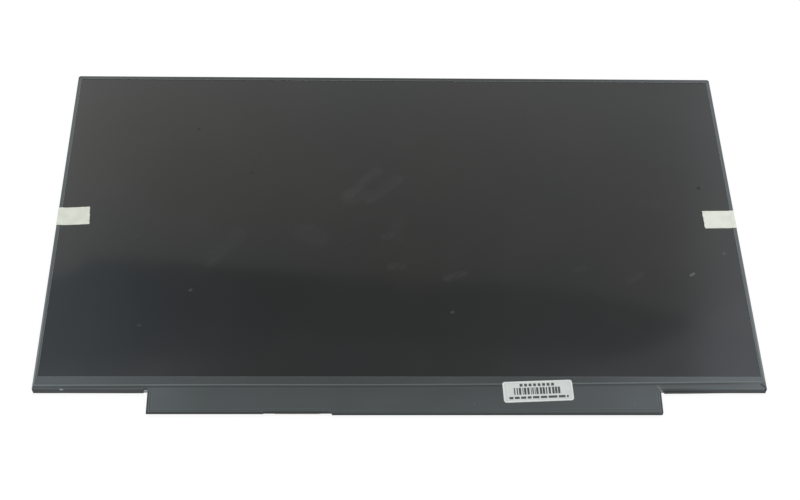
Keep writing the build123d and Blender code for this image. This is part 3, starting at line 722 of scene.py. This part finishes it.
def film_dust_and_light(x, y):
    """Tone of the dust and painted light on the film, from the nearest two places in the list; a little
    darker over the flap near the bezel.
    """
    tone = film_dust_and_light_places[-1][1]
    for (x0, tone0), (x1, tone1) in zip(film_dust_and_light_places, film_dust_and_light_places[1:]):
        if x <= x1 * MM:
            tone = tone0 + (tone1 - tone0) * soft_step(x, x0 * MM, x1 * MM)
            break
    inside = soft_step(x, flap_left, flap_left + 30 * MM)
    inside *= 1 - soft_step(x, flap_right - 6 * MM, flap_right)
    return tone * (1 - 0.08 * inside * soft_step(y, y_bottom - 6 * MM, y_bottom))


# Dust and painted light along the film: place across, tone
film_dust_and_light_places = (
    (-158, 0.52),
    (-112, 0.52),
    (-107, 0.78),
    (-80, 0.58),
    (-40, 0.51),
    (50, 0.53),
    (85, 0.59),
    (105, 0.69),
    (113, 0.64),
    (138, 0.71),
    (158, 0.90),
)


def edge_tones(spot):
    """Painted light and shade of the film near its edges: a painted highlight along its cut edge and the
    slit with a painted shadow line below the edge, a painted highlight on the roll and painted shade on the
    folds at both ends, and the painted ridge highlight and groove shade where it turns down round the board."""
    near = (film_edge(spot.x) - spot.y) / MM
    light = (0.45 + 0.52 * (spot.x / x_body) ** 2) * (1 - soft_step(near, 0.45, 0.85))
    faint = 1 - 0.8 * soft_step(abs(spot.x), 135 * MM, x_body)
    dark = 0.80 * faint * soft_step(near, 0.60, 0.90) * (1 - soft_step(near, 1.1, 2.2))
    cut = slit_root - slit_tip
    along = min(max((spot - slit_tip).dot(cut) / cut.length_squared, 0.0), 1.0)
    from_slit = (Vector((spot.x, spot.y, 0.0)) - slit_tip - along * cut).length
    light = max(light, 0.6 * (1 - soft_step(from_slit, 0.8 * slit_width, 1.4 * slit_width)))
    if spot.x < fold_left_end or spot.x > fold_right_start:
        over = (y_bottom - spot.y) / MM
        sunk = (z_face - spot.z) / MM
        # Painted highlight on the roll, which gives way to painted shade towards the right end.
        roll_highlight_share = soft_step(spot.x, 120 * MM, 140 * MM) if spot.x > 0 else 1.0
        roll = max(0.22 * peak(over, -0.45, 0.35), 0.22 * peak(sunk, 0.8, 0.6))
        shade = 0.45 * soft_step(over, -1.0, -0.1)
        shade *= soft_step(spot.x - fold_right_start, 0.6 * MM, 1.8 * MM)
        return max(light, roll_highlight_share * roll), max(dark, (1 - roll_highlight_share) * shade)
    flap = 1 - soft_step(spot.y, y_bottom - 1.6 * MM, y_bottom - 0.4 * MM)
    aside = min(spot.x - flap_left, flap_right - spot.x) / MM
    ahead = (spot.y - front_of(spot.x)) / MM
    inset = min(aside, ahead)
    at_side = aside < ahead
    groove = 1.0 if at_side else 0.5
    ridge = 0.45 if at_side else 0.22
    # worn: how much further in the painted ridge and groove lie, growing towards the right.
    worn = 0.0 if at_side else soft_step(spot.x, 20 * MM, 95 * MM)
    rim_dark = 0.9 * (1 - soft_step(inset, 0.45 + 0.25 * worn, 0.90 + 0.40 * worn))
    rim_dark += groove * peak(inset, 1.43 + 0.75 * worn, 0.20)
    rim_light = ridge * (peak(inset, 1.02 + 0.65 * worn, 0.16) + peak(inset, 1.88 + 0.80 * worn, 0.18))
    return max(light, flap * rim_light), max(dark, flap * min(rim_dark, 1.0))


def lip_rows(x):
    """Film lying flat on the lip at x: points from its edge to the fold."""
    rows = steps(film_edge(x), y_bottom + bezel_fold, 14)
    return [(y, z_face + film_thick + film_lift(x, y)) for y in rows]


def fold_bulge(x):
    """How far the fold stands off the body: a little on the left, most beside the right end of the flap."""
    wander = noise.noise(Vector((x * 120, 0.0, 5.3)))
    if x < 0:
        away = fold_left_end - x
        near = 0.50 - 0.20 * soft_step(away, 5 * MM, 30 * MM)
        return (near + 0.12 * wander) * soft_step(away, 0, fold_ease)
    away = x - fold_right_start
    near = 1 - 0.85 * soft_step(away, 5 * MM, 34 * MM)
    return (1 + 0.25 * wander) * near * soft_step(away, 0, fold_ease)


def over_edge(x):
    """Section of the film at x where it folds over the edge of the bezel: points down from its edge."""
    bulge = fold_bulge(x)
    outer = bezel_fold + film_thick + 0.6 * MM * bulge
    wall = y_bottom - film_thick - 0.36 * MM * bulge
    bend_y = wall + outer
    bend_z = z_face + film_thick - outer
    points = []
    for y, z in lip_rows(x):
        past = max(bend_y - y, 0.0)
        points.append((y, z - outer + math.sqrt(outer ** 2 - past ** 2)))
    first = math.asin(min((bend_y - points[-1][0]) / outer, 1.0))
    for angle in steps(first, math.pi / 2, 8)[1:]:
        y = bend_y - outer * math.sin(angle)
        points.append((y, bend_z + (outer + film_lift(x, y)) * math.cos(angle)))
    for z in steps(bend_z, film_hem, 4)[1:]:
        points.append((wall, z))
    return points


def over_board(x, front, returns):
    """Section of the film at x where it runs over the board to its front: points from its edge to its return
    below, or to the underside of the board where it has none."""
    points = lip_rows(x)
    common = film_low.y + front_step + notch_depth + film_corner + film_bend
    rows = steps(y_bottom + bezel_fold, common + 2.2 * MM, 20)[1:]
    rows += steps(common + 2.2 * MM, common, 14)[1:]
    rows += steps(common, front + film_bend, 8)[1:]
    for y in rows:
        points.append((y, film_top(y) + film_lift(x, y) + sag(x, y)))
    top = points[-1][1]
    inner = front + film_bend
    for angle in steps(0, math.pi / 2, 4)[1:]:
        y = inner - film_bend * math.sin(angle)
        points.append((y, top - film_bend * (1 - math.cos(angle))))
    low = board_low.z - film_thick
    if not returns:
        points.append((front, board_low.z))
        return points
    points.append((front, low + film_bend))
    for angle in steps(0, math.pi / 2, 4)[1:]:
        y = inner - film_bend * math.cos(angle)
        points.append((y, low + film_bend - film_bend * math.sin(angle)))
    points.append((front + film_return, low))
    return points


def join_columns(mesh, columns):
    """Join neighbouring columns of points into a sheet of faces."""
    for left, right in zip(columns, columns[1:]):
        for row in range(len(left) - 1):
            mesh.faces.new((left[row], left[row + 1], right[row + 1], right[row]))


def finished(mesh, name):
    """The mesh that was built up, as data for a piece."""
    data = bpy.data.meshes.new(name)
    mesh.to_mesh(data)
    mesh.free()
    return data


def film_strip(mesh, x_places, section):
    """A strip of film through its sections at the places across."""
    join_columns(mesh, [[mesh.verts.new((x, y, z)) for y, z in section(x)] for x in x_places])


def cut_slit(mesh):
    """Cut the slanting slit through the film at the right end of the flap."""
    cut = slit_root - slit_tip
    along = cut.normalized()
    aside = Vector((-along.y, along.x, 0.0))
    middle = (slit_tip + slit_root) / 2
    half = slit_width / 2
    planes = ((slit_tip, along), (slit_tip + half * aside, aside), (slit_tip - half * aside, aside))
    for point, normal in planes:
        near = [face for face in mesh.faces if (face.calc_center_median() - middle).xy.length < cut.length]
        geometry = set(near)
        for face in near:
            geometry.update(face.edges)
            geometry.update(face.verts)
        bmesh.ops.bisect_plane(mesh, geom=list(geometry), dist=1e-8, plane_co=point, plane_no=normal)
    inside = []
    for face in mesh.faces:
        away = face.calc_center_median() - slit_tip
        if 0 < away.dot(along) < cut.length and abs(away.dot(aside)) < half and away.z > z_face - 0.6 * MM:
            inside.append(face)
    bmesh.ops.delete(mesh, geom=inside, context="FACES")


def slant_fold(mesh):
    """Cut the end of the right hand fold on the slant, in line with the slit."""
    for vertex in mesh.verts:
        away = vertex.co.x - fold_right_start
        if away > -0.001 * MM:
            down = soft_step(z_face - vertex.co.z, 0.0, z_face - film_hem)
            vertex.co.x += fold_slant * down * (1 - soft_step(away, 0, 3 * MM))


def cover_film():
    """The black film as one thin sheet: folded over at both ends, running on over the board between."""
    mesh = bmesh.new()
    x_end = x_body - film_end_inset
    side = 2.6 * MM
    step_front = film_low.y + front_step
    notch_front = step_front + notch_depth
    left_ease = fold_left_end - 2 * fold_ease
    right_ease = fold_right_start + 2 * fold_ease
    left_end = steps(-x_end, left_ease, 88)[:-1] + steps(left_ease, fold_left_end, 12)
    film_strip(mesh, left_end, over_edge)
    film_strip(mesh, steps(fold_left_end, flap_left, 4), lip_rows)
    left_places = steps(flap_left, flap_left + side, 22)[:-1] + steps(flap_left + side, notch_left, 40)
    film_strip(mesh, left_places, lambda x: over_board(x, step_front, True))
    film_strip(mesh, steps(notch_left, notch_right, 24), lambda x: over_board(x, notch_front, False))
    right_places = steps(notch_right, flap_right - side, 110)[:-1]
    right_places += steps(flap_right - side, flap_right, 24)
    film_strip(mesh, right_places, lambda x: over_board(x, film_low.y + corner_round(x), True))
    film_strip(mesh, steps(flap_right, fold_right_start, 4), lip_rows)
    right_end = steps(fold_right_start, right_ease, 12)[:-1] + steps(right_ease, x_end, 88)
    film_strip(mesh, right_end, over_edge)
    bmesh.ops.remove_doubles(mesh, verts=mesh.verts, dist=0.002 * MM)
    slant_fold(mesh)
    bmesh.ops.recalc_face_normals(mesh, faces=mesh.faces)
    cut_slit(mesh)
    data = finished(mesh, "board_cover_film")
    # Painted highlights and shade near the edges, and the tone of dust with painted light, kept on the
    # points.
    tones = {"painted_edge_light": [], "painted_edge_shade": [], "dust": []}
    for vertex in data.vertices:
        light, dark = edge_tones(vertex.co)
        tones["painted_edge_light"].append(light)
        tones["painted_edge_shade"].append(dark)
        tones["dust"].append(film_dust_and_light(vertex.co.x, vertex.co.y))
    for name, values in tones.items():
        data.attributes.new(name, "FLOAT", "POINT").data.foreach_set("value", values)
    piece = new_piece("cover_film_sheet", data, "film_black", "film_black", "board_cover_film")
    solid_sheet(piece, film_thick)


def loose_boxes(node):
    """The lower and upper corners of each of a node's separate solids."""
    mesh = bmesh.new()
    mesh.from_mesh(nodes[node].data)
    bmesh.ops.remove_doubles(mesh, verts=mesh.verts, dist=0.001 * MM)
    boxes = []
    seen = set()
    for vertex in mesh.verts:
        if vertex in seen:
            continue
        seen.add(vertex)
        group = [vertex]
        for member in group:
            for edge in member.link_edges:
                other = edge.other_vert(member)
                if other not in seen:
                    seen.add(other)
                    group.append(other)
        places = [nodes[node].matrix_world @ member.co for member in group]
        low = Vector([min(place[axis] for place in places) for axis in range(3)])
        high = Vector([max(place[axis] for place in places) for axis in range(3)])
        boxes.append((low, high))
    mesh.free()
    return boxes


def eased_blocks(name, boxes, ease):
    """Small blocks with rounded edges, together one piece of tinned metal."""
    mesh = bmesh.new()
    for low, high in boxes:
        size = high - low
        turn = Matrix.Translation((low + high) / 2) @ Matrix.Diagonal((*size, 1.0))
        bmesh.ops.create_cube(mesh, size=1.0, matrix=turn)
    bmesh.ops.bevel(mesh, geom=mesh.edges, offset=ease, segments=2, affect="EDGES", profile=0.5)
    data = finished(mesh, name)
    return new_piece(name, data, "solder", "socket_steel")


def soldered_ends():
    """Tinned ends on the capacitors and resistors, a little proud of their bodies."""
    proud = Vector((1, 1, 1)) * 0.015 * MM
    ends = []
    for node in ("large_capacitors", "small_capacitors", "chip_resistors"):
        for low, high in loose_boxes(node):
            end = 0.26 * (high.y - low.y)
            ends.append((low - proud, Vector((high.x, low.y + end, high.z)) + proud))
            ends.append((Vector((low.x, high.y - end, low.z)) - proud, high + proud))
    eased_blocks("soldered_ends", [(low, Vector((*high.xy, board_low.z))) for low, high in ends], 0.04 * MM)


# Leads of the chips: node, leads a side, pitch, width, reach, sides that carry them
chip_leads = (
    ("timing_controller", 16, 0.40, 0.20, 0.28, "xy"),
    ("power_chip", 8, 0.55, 0.26, 0.28, "xy"),
    ("lamp_driver_chip", 6, 0.60, 0.26, 0.28, "xy"),
    ("memory_chip", 4, 0.80, 0.32, 0.45, "x"),
    ("rectifier_diodes", 1, 1.00, 1.00, 0.35, "y"),
)


def soldered_leads():
    """Tinned leads round the chips and diodes, lying on the board."""
    leads = []
    thick = 0.14 * MM
    inside = 0.05 * MM
    for node, count, pitch, width, reach, sides in chip_leads:
        for low, high in loose_boxes(node):
            middle = (low + high) / 2
            for number in range(count):
                shift = (number - (count - 1) / 2) * pitch * MM
                half = width * MM / 2
                spans = []
                if "x" in sides:
                    y = middle.y + shift
                    spans.append((low.x - reach * MM, low.x + inside, y - half, y + half))
                    spans.append((high.x - inside, high.x + reach * MM, y - half, y + half))
                if "y" in sides:
                    x = middle.x + shift
                    spans.append((x - half, x + half, low.y - reach * MM, low.y + inside))
                    spans.append((x - half, x + half, high.y - inside, high.y + reach * MM))
                for x0, x1, y0, y1 in spans:
                    leads.append((Vector((x0, y0, board_low.z - thick)), Vector((x1, y1, board_low.z))))
    eased_blocks("soldered_leads", leads, 0.03 * MM)


def tab_point(x, y, side):
    """A point of tape laid flat at x, wrapped down the side of the body where it passes the edge."""
    window = x_body - side_lip
    ramp_start = window - tab_ramp
    start = x_body - bezel_fold
    outer = bezel_fold + tab_thick
    if x <= start:
        rise = soft_step(x, ramp_start, window)
        z = z_screen + tab_thick + rise * (z_face - z_screen)
        return Vector((side * x, y, z))
    turn = (x - start) / outer
    if turn < math.pi / 2:
        over = start + outer * math.sin(turn)
        return Vector((side * over, y, z_face - bezel_fold + outer * math.cos(turn)))
    drop = x - start - outer * math.pi / 2
    return Vector((side * (x_body + tab_thick), y, z_face - bezel_fold - drop))


def tape_tab(name, side, reach, rise, tilt, node):
    """A strip of crepe tape, torn a little unevenly at its end and wrapped over the side."""
    outer = bezel_fold + tab_thick
    wrap = outer * math.pi / 2 + z_face - bezel_fold - tab_hem
    length = reach - bezel_fold + wrap
    centre_x = x_body - reach
    centre_y = y_bottom + rise
    turn = math.radians(tilt) * side
    mesh = bmesh.new()
    columns = []
    for along in steps(0, length, 60):
        column = []
        for over in steps(-tab_height / 2, tab_height / 2, 30):
            torn = 0.25 * MM * noise.noise(Vector((side * 5.0, over * 900, 1.3)))
            torn *= max(0, 1 - along / (1.0 * MM))
            ragged = 0.06 * MM * noise.noise(Vector((along * 700, math.copysign(4, over), side)))
            b = over + ragged * abs(over) / (tab_height / 2)
            a = along + torn
            x = centre_x + a
            held = min(1.0, max(0.0, (reach - a) / reach + 0.5))
            y = centre_y + b + (a - reach / 2) * math.tan(turn) * held
            x -= b * math.tan(turn) * (1 - soft_step(a, 0.3 * reach, 0.9 * reach))
            point = tab_point(x, y, side)
            ripple = 0.03 * MM * noise.noise(Vector((a * 420, b * 260, side * 2.0)))
            point.z += abs(ripple) if a < reach - bezel_fold else 0.0
            column.append(mesh.verts.new(point))
        columns.append(column)
    join_columns(mesh, columns)
    bmesh.ops.recalc_face_normals(mesh, faces=mesh.faces)
    up = sum((face.normal.z * face.calc_area() for face in mesh.faces))
    if up < 0:
        bmesh.ops.reverse_faces(mesh, faces=mesh.faces)
    data = finished(mesh, name)
    piece = new_piece(name, data, "tape_paper", "tape_paper", node)
    solid_sheet(piece, tab_thick)


def label_point(u, v):
    """A point on top of the sticker, from its own axes: u along it and v up it."""
    turned = Matrix.Rotation(label_tilt, 3, "Z") @ Vector((u, v, 0))
    spot = label_centre + turned
    fold = y_bottom + bezel_fold
    top = z_face + film_thick if spot.y > fold else film_top(spot.y)
    return Vector((spot.x, spot.y, top + (label_high.z - z_face - film_thick) + ink_lift))


def mark_rows(u, v0, v1):
    """The ends of a mark at u along the sticker, and the place between them where the sticker may bend."""
    bend = (y_bottom + bezel_fold - label_centre.y - u * math.sin(label_tilt)) / math.cos(label_tilt)
    return [v0, min(max(bend, v0 + 0.1 * (v1 - v0)), v1 - 0.1 * (v1 - v0)), v1]


def print_marks():
    """Generic print for the sticker: a run of uneven bars, with a row of plain dashes above and below."""
    dice = random.Random(print_seed)
    marks = []
    u = -10.4 * MM
    while u < 9.3 * MM:
        width = dice.choice((0.35, 0.55, 0.95)) * MM
        marks.append((u, u + width, -1.55 * MM, 1.75 * MM))
        u += width + dice.choice((0.30, 0.45, 0.60)) * MM
    u = -7.7 * MM
    while u < 7.2 * MM:
        marks.append((u, u + 1.25 * MM, 2.35 * MM, 3.75 * MM))
        u += 1.95 * MM
    u = -12.7 * MM
    while u < 12.4 * MM:
        width = dice.uniform(1.6, 4.2) * MM
        marks.append((u, min(u + width, 12.9 * MM), -3.55 * MM, -2.45 * MM))
        u += width + 0.6 * MM
    mesh = bmesh.new()
    for u0, u1, v0, v1 in marks:
        left = [mesh.verts.new(label_point(u0, v)) for v in mark_rows(u0, v0, v1)]
        right = [mesh.verts.new(label_point(u1, v)) for v in mark_rows(u1, v0, v1)]
        for row in range(len(left) - 1):
            mesh.faces.new((left[row], right[row], right[row + 1], left[row + 1]))
    data = finished(mesh, "sticker_print")
    piece = new_piece("sticker_print", data, "print_ink", "sticker_paper")
    solid_sheet(piece, 2 * ink_lift, smooth=False)


cover_film()
soldered_ends()
soldered_leads()
tape_tab("left_tab_tape", -1, 14.7 * MM, 95.6 * MM, 3.8, "left_tape_tab")
tape_tab("right_tab_tape", 1, 14.9 * MM, 94.9 * MM, 1.0, "right_tape_tab")
print_marks()


# Floor, light and camera

def floor():
    """A plain white floor that keeps the object's shadow, and is clear from below."""
    material = bpy.data.materials.new("floor_white")
    material.use_nodes = True
    tree = material.node_tree
    tree.nodes.clear()
    output = add(tree, "OutputMaterial")
    paint = add(tree, "BsdfDiffuse", Color=(0.90, 0.90, 0.90, 1))
    glow = add(tree, "Emission", Color=(1, 1, 1, 1), Strength=1.05)
    path = add(tree, "LightPath")
    seen = maths(tree, "MAXIMUM", path.outputs["Is Camera Ray"], path.outputs["Is Glossy Ray"])
    seen = maths(tree, "MAXIMUM", seen, path.outputs["Is Transmission Ray"])
    white = add(tree, "MixShader")
    tree.links.new(maths(tree, "MULTIPLY", seen, 0.85), white.inputs[0])
    tree.links.new(paint.outputs[0], white.inputs[1])
    tree.links.new(glow.outputs[0], white.inputs[2])
    below = add(tree, "MixShader")
    side = add(tree, "NewGeometry")
    tree.links.new(side.outputs["Backfacing"], below.inputs[0])
    tree.links.new(white.outputs[0], below.inputs[1])
    tree.links.new(add(tree, "BsdfTransparent").outputs[0], below.inputs[2])
    tree.links.new(below.outputs[0], output.inputs["Surface"])
    mesh = bpy.data.meshes.new("floor")
    reach = 4.0
    level = -0.05 * MM
    corners = [(reach * x, reach * y, level) for x, y in ((-1, -1), (1, -1), (1, 1), (-1, 1))]
    mesh.from_pydata(corners, [], [(0, 1, 2, 3)])
    piece = bpy.data.objects.new("floor", mesh)
    piece.data.materials.append(material)
    bpy.context.scene.collection.objects.link(piece)


def studio():
    """Pale walls all round, a softbox high at each side, and a darker ceiling with paler corners: what the
    screen mirrors."""
    world = bpy.data.worlds.new("studio")
    bpy.context.scene.world = world
    world.use_nodes = True
    tree = world.node_tree
    background = tree.nodes["Background"]
    axes = axes_of(tree, add(tree, "TexCoord").outputs["Generated"])
    across, depth, height = axes["X"], axes["Y"], axes["Z"]
    bend = maths(tree, "MINIMUM", maths(tree, "SUBTRACT", across, 0.05), 0.0)
    bend = maths(tree, "MULTIPLY", maths(tree, "MULTIPLY", bend, bend), 0.40)
    lower = maths(tree, "MULTIPLY", smooth_step(tree, across, -0.155, -0.185), -0.0085)
    upper = maths(tree, "MULTIPLY", smooth_step(tree, across, 0.04, 0.11), 0.0032)
    rise = maths(tree, "ADD", maths(tree, "ADD", height, bend), maths(tree, "ADD", lower, upper))
    walls = ramp(tree, rise, (
        (0.000, (0.520, 0.520, 0.520)),
        (0.250, (0.520, 0.520, 0.520)),
        (0.400, (0.380, 0.380, 0.380)),
        (0.620, (0.420, 0.420, 0.415)),
        (0.690, (0.590, 0.595, 0.585)),
        (0.719, (0.575, 0.580, 0.570)),
        (0.745, (0.485, 0.480, 0.460)),
        (0.770, (0.410, 0.410, 0.385)),
        (0.7974, (0.316, 0.323, 0.311)),
        (0.7992, (0.225, 0.240, 0.240)),
        (0.815, (0.220, 0.236, 0.242)),
        (0.830, (0.268, 0.285, 0.295)),
        (0.860, (0.240, 0.245, 0.245)),
        (1.000, (0.240, 0.245, 0.245)),
    ))
    sweep = maths(tree, "ADD", maths(tree, "MULTIPLY", across, 0.5), 0.5)
    above = smooth_step(tree, rise, 0.7973, 0.7993)
    left_box = ramp(tree, sweep, (
        (0.150, 0.25),
        (0.300, 1.00),
        (0.380, 1.00),
        (0.400, 0.78),
        (0.410, 0.63),
        (0.4225, 0.425),
        (0.434, 0.24),
        (0.446, 0.125),
        (0.470, 0.0),
    ))
    left_tint = mix(tree, above, (0.43, 0.46, 0.465), (0.30, 0.37, 0.42))
    left_wall = ramp(tree, sweep, ((0.36, 0.06), (0.471, 0.045), (0.505, 0.0)))
    left_wall = mix(tree, above, left_wall, (0.0, 0.0, 0.0))
    right_box = ramp(tree, sweep, (
        (0.525, 0.0),
        (0.5925, 0.13),
        (0.6025, 0.28),
        (0.6125, 0.74),
        (0.6225, 1.00),
        (0.680, 1.00),
        (0.850, 0.19),
    ))
    right_gain = maths(tree, "MULTIPLY", smooth_step(tree, height, 0.70, 0.87), 0.65)
    right_gain = maths(tree, "ADD", right_gain, 0.5)
    right_top = maths(tree, "MULTIPLY", smooth_step(tree, height, 0.785, 0.812), 0.20)
    right_gain = maths(tree, "ADD", right_gain, right_top)
    right_box = mix(tree, 1.0, right_box, right_gain, "MULTIPLY")
    left_corner = ramp(tree, sweep, (
        (0.405, 0.07),
        (0.425, 0.10),
        (0.437, 0.135),
        (0.447, 0.085),
        (0.460, 0.045),
        (0.480, 0.0),
    ))
    left_lean = maths(tree, "MULTIPLY", across, -0.08)
    left_mask = smooth_step(tree, maths(tree, "ADD", height, left_lean), 0.828, 0.836)
    right_corner = ramp(tree, sweep, (
        (0.540, 0.0),
        (0.560, 0.07),
        (0.578, 0.14),
        (0.593, 0.14),
        (0.620, 0.05),
    ))
    past = maths(tree, "MAXIMUM", maths(tree, "SUBTRACT", across, 0.12), 0.0)
    right_lean = maths(tree, "MULTIPLY", maths(tree, "MULTIPLY", past, past), 2.9)
    right_mask = smooth_step(tree, maths(tree, "ADD", height, right_lean), 0.8185, 0.8265)
    corners = mix(tree, left_mask, (0.0, 0.0, 0.0), left_corner)
    corners = mix(tree, right_mask, corners, mix(tree, 1.0, corners, right_corner, "ADD"))
    boxes = mix(tree, 1.0, left_wall, mix(tree, 1.0, left_box, left_tint, "MULTIPLY"), "ADD")
    boxes = mix(tree, 1.0, boxes, mix(tree, 1.0, right_box, (0.54, 0.58, 0.64), "MULTIPLY"), "ADD")
    boxes = mix(tree, 1.0, boxes, corners, "ADD")
    high = smooth_step(tree, height, 0.50, 0.70)
    ahead = smooth_step(tree, depth, -0.55, 0.05)
    lit = mix(tree, maths(tree, "MULTIPLY", high, ahead), walls, mix(tree, 1.0, walls, boxes, "ADD"))
    tree.links.new(lit, background.inputs["Color"])
    background.inputs["Strength"].default_value = studio_strength


def camera():
    data = bpy.data.cameras.new("camera")
    data.lens = camera_lens
    data.sensor_width = camera_sensor
    data.clip_start = 0.01
    piece = bpy.data.objects.new("camera", data)
    bpy.context.scene.collection.objects.link(piece)
    forward = camera_forward.normalized()
    right = forward.cross(camera_up).normalized()
    up = right.cross(forward)
    turn = Matrix((right, up, -forward)).transposed()
    piece.matrix_world = Matrix.Translation(camera_place) @ turn.to_4x4()
    bpy.context.scene.camera = piece


floor()
studio()
camera()
bpy.context.scene.view_settings.view_transform = "Standard"
